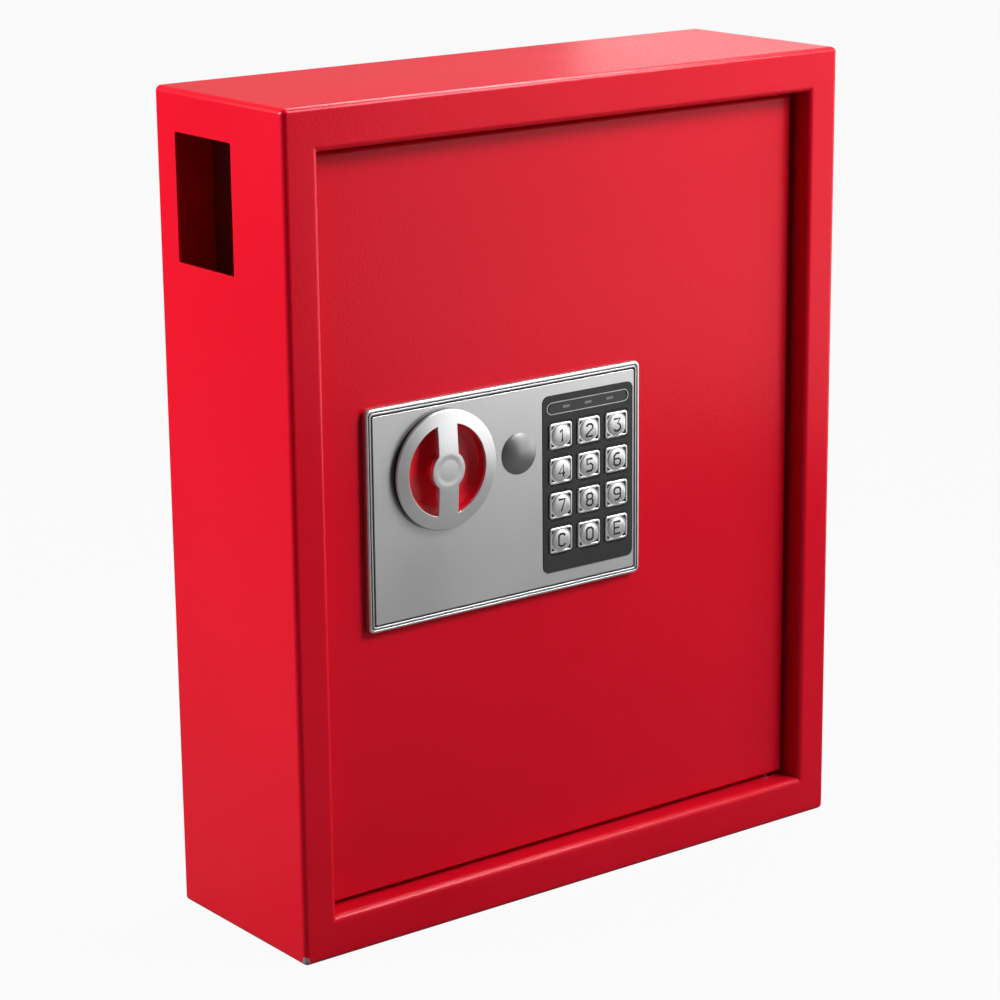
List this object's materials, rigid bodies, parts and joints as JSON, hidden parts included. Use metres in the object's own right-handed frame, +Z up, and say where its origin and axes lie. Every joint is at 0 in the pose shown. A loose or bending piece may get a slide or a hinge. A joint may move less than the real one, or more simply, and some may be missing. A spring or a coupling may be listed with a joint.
{
  "type": "key cabinet",
  "caption": "Red steel wall key cabinet with a recessed door, an electronic keypad lock with a turning knob, key hook bars and a key drop slot in its left side.",
  "frame": {"origin": "middle of the base, at floor level", "axes": "+Z up, +Y towards the wall behind, the door faces -Y, +X to the viewer's right (hinge side)"},
  "size_m": [0.3, 0.095, 0.365],
  "materials": {
    "red_powder_coat": "bright red powder coat with a fine orange peel",
    "silver_panel": "satin silver lacquer",
    "black_plastic": "matt black moulded plastic",
    "black_powder_coat": "matt black powder coat",
    "smoked_window": "dark translucent gloss",
    "key_silver": "metallised silver plastic",
    "red_plastic": "red moulded plastic, satin",
    "grey_cap": "grey moulded plastic, satin",
    "zinc_plate": "bright zinc plate",
    "bright_steel": "turned and nickel plated",
    "brass": "turned brass",
    "white_nylon": "natural nylon",
    "grey_rubber": "matt silicone rubber",
    "circuit_board_green": "solder-resist green",
    "cell_wrapper": "plain dark printed sleeve"
  },
  "bodies": {
    "cabinet": {"body_shell": "red_powder_coat", "back_panel": "red_powder_coat", "drop_chute": "red_powder_coat", "key_rail_left": "zinc_plate", "key_rail_right": "zinc_plate", "hook_bar_1": "zinc_plate", "hook_bar_2": "zinc_plate", "hook_bar_3": "zinc_plate", "hook_bar_4": "zinc_plate", "hook_bar_5": "zinc_plate", "hinge_bush_top": "white_nylon", "hinge_bush_base": "white_nylon"},
    "door": {"door_panel": "red_powder_coat", "hinge_pin_top": "bright_steel", "hinge_pin_base": "bright_steel", "lock_panel": "silver_panel", "keypad_fascia": "black_plastic", "indicator_window": "smoked_window", "key_mat": "grey_rubber", "circuit_board": "circuit_board_green", "mechanism_plate": "zinc_plate", "guide_stud_upper": "bright_steel", "guide_stud_lower": "bright_steel", "lock_cover": "black_powder_coat", "cover_nut_top": "zinc_plate", "cover_nut_base": "zinc_plate", "battery_tray": "black_plastic", "battery_cell_1": "cell_wrapper", "battery_cell_2": "cell_wrapper", "battery_cell_3": "cell_wrapper", "battery_cell_4": "cell_wrapper", "solenoid_body": "zinc_plate", "emergency_lock_body": "brass", "battery_lead": "red_plastic", "solenoid_lead": "grey_rubber", "plunger_spring": "bright_steel"},
    "knob": {"knob_ring": "silver_panel", "knob_cup": "red_plastic", "knob_spindle": "bright_steel", "bolt_cam": "bright_steel"},
    "bolt_work": {"bolt_plate": "zinc_plate", "bolt_upper": "bright_steel", "bolt_lower": "bright_steel"},
    "keypad_0": {"key_0": "key_silver"},
    "keypad_1": {"key_1": "key_silver"},
    "keypad_2": {"key_2": "key_silver"},
    "keypad_3": {"key_3": "key_silver"},
    "keypad_4": {"key_4": "key_silver"},
    "keypad_5": {"key_5": "key_silver"},
    "keypad_6": {"key_6": "key_silver"},
    "keypad_7": {"key_7": "key_silver"},
    "keypad_8": {"key_8": "key_silver"},
    "keypad_9": {"key_9": "key_silver"},
    "keypad_c": {"key_c": "key_silver"},
    "keypad_e": {"key_e": "key_silver"},
    "cap": {"keyhole_cap": "grey_cap"},
    "lock_core": {"emergency_lock_core": "brass"},
    "plunger": {"solenoid_plunger": "bright_steel"},
    "battery_lid": {"battery_door": "black_plastic"},
    "reset": {"reset_button": "red_plastic"}
  },
  "joints": [
    {"name": "door_hinge", "type": "hinge", "parent": "cabinet", "child": "door", "pos_m": [0.1245, -0.0325, 0.0208], "axis": [0, 0, 1], "range_deg": [0, 95]},
    {"name": "knob_turn", "type": "hinge", "parent": "door", "child": "knob", "pos_m": [-0.0691, -0.041, 0.2041], "axis": [0, -1, 0], "range_deg": [0, 90]},
    {"name": "bolt_slide", "type": "slide", "parent": "door", "child": "bolt_work", "axis": [-1, 0, 0], "range_m": [0, 0.0123]},
    {"name": "press_0", "type": "slide", "parent": "door", "child": "keypad_0", "axis": [0, 1, 0], "range_m": [0, 0.0008], "stiffness_N_per_m": 400},
    {"name": "press_1", "type": "slide", "parent": "door", "child": "keypad_1", "axis": [0, 1, 0], "range_m": [0, 0.0008], "stiffness_N_per_m": 400},
    {"name": "press_2", "type": "slide", "parent": "door", "child": "keypad_2", "axis": [0, 1, 0], "range_m": [0, 0.0008], "stiffness_N_per_m": 400},
    {"name": "press_3", "type": "slide", "parent": "door", "child": "keypad_3", "axis": [0, 1, 0], "range_m": [0, 0.0008], "stiffness_N_per_m": 400},
    {"name": "press_4", "type": "slide", "parent": "door", "child": "keypad_4", "axis": [0, 1, 0], "range_m": [0, 0.0008], "stiffness_N_per_m": 400},
    {"name": "press_5", "type": "slide", "parent": "door", "child": "keypad_5", "axis": [0, 1, 0], "range_m": [0, 0.0008], "stiffness_N_per_m": 400},
    {"name": "press_6", "type": "slide", "parent": "door", "child": "keypad_6", "axis": [0, 1, 0], "range_m": [0, 0.0008], "stiffness_N_per_m": 400},
    {"name": "press_7", "type": "slide", "parent": "door", "child": "keypad_7", "axis": [0, 1, 0], "range_m": [0, 0.0008], "stiffness_N_per_m": 400},
    {"name": "press_8", "type": "slide", "parent": "door", "child": "keypad_8", "axis": [0, 1, 0], "range_m": [0, 0.0008], "stiffness_N_per_m": 400},
    {"name": "press_9", "type": "slide", "parent": "door", "child": "keypad_9", "axis": [0, 1, 0], "range_m": [0, 0.0008], "stiffness_N_per_m": 400},
    {"name": "press_c", "type": "slide", "parent": "door", "child": "keypad_c", "axis": [0, 1, 0], "range_m": [0, 0.0008], "stiffness_N_per_m": 400},
    {"name": "press_e", "type": "slide", "parent": "door", "child": "keypad_e", "axis": [0, 1, 0], "range_m": [0, 0.0008], "stiffness_N_per_m": 400},
    {"name": "cap_pull", "type": "slide", "parent": "door", "child": "cap", "axis": [0, -1, 0], "range_m": [0, 0.015]},
    {"name": "emergency_lock_turn", "type": "hinge", "parent": "door", "child": "lock_core", "pos_m": [-0.0285, -0.041, 0.2041], "axis": [0, 1, 0], "range_deg": [0, 90]},
    {"name": "plunger_slide", "type": "slide", "parent": "door", "child": "plunger", "axis": [0, 0, -1], "range_m": [0, 0.0015], "stiffness_N_per_m": 200, "springref_m": -0.003, "deforming": ["plunger_spring"]},
    {"name": "battery_lid_slide", "type": "slide", "parent": "door", "child": "battery_lid", "axis": [-1, 0, 0], "range_m": [0, 0.02]},
    {"name": "reset_press", "type": "slide", "parent": "door", "child": "reset", "axis": [0, -1, 0], "range_m": [0, 0.0015], "stiffness_N_per_m": 300}
  ],
  "couplings": [
    {"joint": "bolt_slide", "follows": "knob_turn", "m_per_rad": 0.007639}
  ]
}
